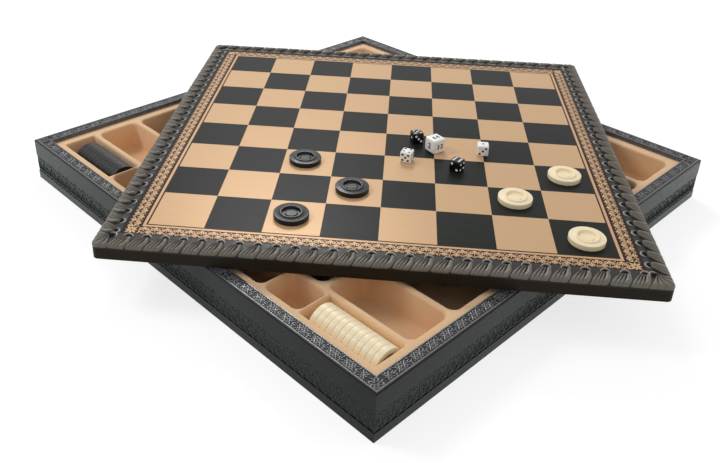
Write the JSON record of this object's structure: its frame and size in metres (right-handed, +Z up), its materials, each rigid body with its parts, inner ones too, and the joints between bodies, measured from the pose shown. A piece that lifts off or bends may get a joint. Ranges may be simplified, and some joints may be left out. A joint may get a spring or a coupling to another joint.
{
  "type": "chess and backgammon board",
  "caption": "Low square leatherette case with a flocked tray and a loose laced chess board, backgammon side below, lying turned on its rim with checkers and dice.",
  "frame": {"origin": "centre of the case's underside", "axes": "+Z up, +X from the case's front corner to its right corner, +Y from the front corner to its left corner"},
  "size_m": [0.5656, 0.5656, 0.0643],
  "materials": {
    "base_leatherette": "plain black leatherette on the underside",
    "panel_wood": "plain board, covered on every side",
    "tray_flock": "peach flock on a moulded tray",
    "case_leatherette": "satin black leatherette with an embossed band",
    "rim_leatherette": "embossed leatherette strip with worn highlights",
    "playing_print": "gold and black printed squares with an ornament border",
    "edge_leather": "dark brown-black satin leather",
    "binding_leather": "plain dark brown-black strip",
    "lace_leather": "grey-brown leather lacing",
    "backgammon_print": "printed field of points",
    "ivory_checker": "cream plastic, turned face",
    "black_checker": "black plastic, turned face",
    "white_die": "white plastic with black pips",
    "black_die": "black plastic with white pips",
    "doubling_cube": "white plastic with black numerals"
  },
  "bodies": {
    "case": {"case_base_sheet": "base_leatherette", "case_base_panel": "panel_wood", "case_tray": "tray_flock", "case_wall_front_right": "panel_wood", "case_wall_back_right": "panel_wood", "case_wall_back_left": "panel_wood", "case_wall_front_left": "panel_wood", "case_side_cover_front_right": "case_leatherette", "case_side_cover_back_right": "case_leatherette", "case_side_cover_back_left": "case_leatherette", "case_side_cover_front_left": "case_leatherette", "case_rim_strip_front_right": "rim_leatherette", "case_rim_strip_back_right": "rim_leatherette", "case_rim_strip_back_left": "rim_leatherette", "case_rim_strip_front_left": "rim_leatherette"},
    "board": {"board_core": "panel_wood", "board_playing_sheet": "playing_print", "board_laced_edge": "edge_leather", "board_edge_binding": "binding_leather", "board_backgammon_frame": "edge_leather", "board_backgammon_sheet": "backgammon_print", "board_lacing_front": "lace_leather", "board_lacing_right": "lace_leather", "board_lacing_back": "lace_leather", "board_lacing_left": "lace_leather"},
    "ivory_roll": {"ivory_rolled_checker_01": "ivory_checker", "ivory_rolled_checker_02": "ivory_checker", "ivory_rolled_checker_03": "ivory_checker", "ivory_rolled_checker_04": "ivory_checker", "ivory_rolled_checker_05": "ivory_checker", "ivory_rolled_checker_06": "ivory_checker", "ivory_rolled_checker_07": "ivory_checker", "ivory_rolled_checker_08": "ivory_checker", "ivory_rolled_checker_09": "ivory_checker", "ivory_rolled_checker_10": "ivory_checker", "ivory_rolled_checker_11": "ivory_checker", "ivory_rolled_checker_12": "ivory_checker"},
    "black_roll": {"black_rolled_checker_01": "black_checker", "black_rolled_checker_02": "black_checker", "black_rolled_checker_03": "black_checker", "black_rolled_checker_04": "black_checker", "black_rolled_checker_05": "black_checker", "black_rolled_checker_06": "black_checker", "black_rolled_checker_07": "black_checker", "black_rolled_checker_08": "black_checker", "black_rolled_checker_09": "black_checker", "black_rolled_checker_10": "black_checker", "black_rolled_checker_11": "black_checker", "black_rolled_checker_12": "black_checker"},
    "ivory_checker_1": {"ivory_checker_1": "ivory_checker"},
    "ivory_checker_2": {"ivory_checker_2": "ivory_checker"},
    "ivory_checker_3": {"ivory_checker_3": "ivory_checker"},
    "black_checker_1": {"black_checker_1": "black_checker"},
    "black_checker_2": {"black_checker_2": "black_checker"},
    "black_checker_3": {"black_checker_3": "black_checker"},
    "white_die_1": {"white_die_1": "white_die"},
    "white_die_2": {"white_die_2": "white_die"},
    "black_die_1": {"black_die_1": "black_die"},
    "black_die_2": {"black_die_2": "black_die"},
    "doubling_cube": {"doubling_cube": "doubling_cube"}
  },
  "joints": [
    {"name": "board_lift", "type": "slide", "parent": "case", "child": "board", "axis": [0, 0, 1], "range_m": [0, 0.12]},
    {"name": "ivory_roll_lift", "type": "slide", "parent": "case", "child": "ivory_roll", "axis": [0, 0, 1], "range_m": [0, 0.045]},
    {"name": "black_roll_lift", "type": "slide", "parent": "case", "child": "black_roll", "axis": [0, 0, 1], "range_m": [0, 0.045]},
    {"name": "ivory_checker_1_lift", "type": "slide", "parent": "board", "child": "ivory_checker_1", "axis": [0, 0, 1], "range_m": [0, 0.03]},
    {"name": "ivory_checker_2_lift", "type": "slide", "parent": "board", "child": "ivory_checker_2", "axis": [0, 0, 1], "range_m": [0, 0.03]},
    {"name": "ivory_checker_3_lift", "type": "slide", "parent": "board", "child": "ivory_checker_3", "axis": [0, 0, 1], "range_m": [0, 0.03]},
    {"name": "black_checker_1_lift", "type": "slide", "parent": "board", "child": "black_checker_1", "axis": [0, 0, 1], "range_m": [0, 0.03]},
    {"name": "black_checker_2_lift", "type": "slide", "parent": "board", "child": "black_checker_2", "axis": [0, 0, 1], "range_m": [0, 0.03]},
    {"name": "black_checker_3_lift", "type": "slide", "parent": "board", "child": "black_checker_3", "axis": [0, 0, 1], "range_m": [0, 0.03]},
    {"name": "white_die_1_lift", "type": "slide", "parent": "board", "child": "white_die_1", "axis": [0, 0, 1], "range_m": [0, 0.03]},
    {"name": "white_die_2_lift", "type": "slide", "parent": "board", "child": "white_die_2", "axis": [0, 0, 1], "range_m": [0, 0.03]},
    {"name": "black_die_1_lift", "type": "slide", "parent": "board", "child": "black_die_1", "axis": [0, 0, 1], "range_m": [0, 0.03]},
    {"name": "black_die_2_lift", "type": "slide", "parent": "board", "child": "black_die_2", "axis": [0, 0, 1], "range_m": [0, 0.03]},
    {"name": "doubling_cube_lift", "type": "slide", "parent": "board", "child": "doubling_cube", "axis": [0, 0, 1], "range_m": [0, 0.03]}
  ]
}
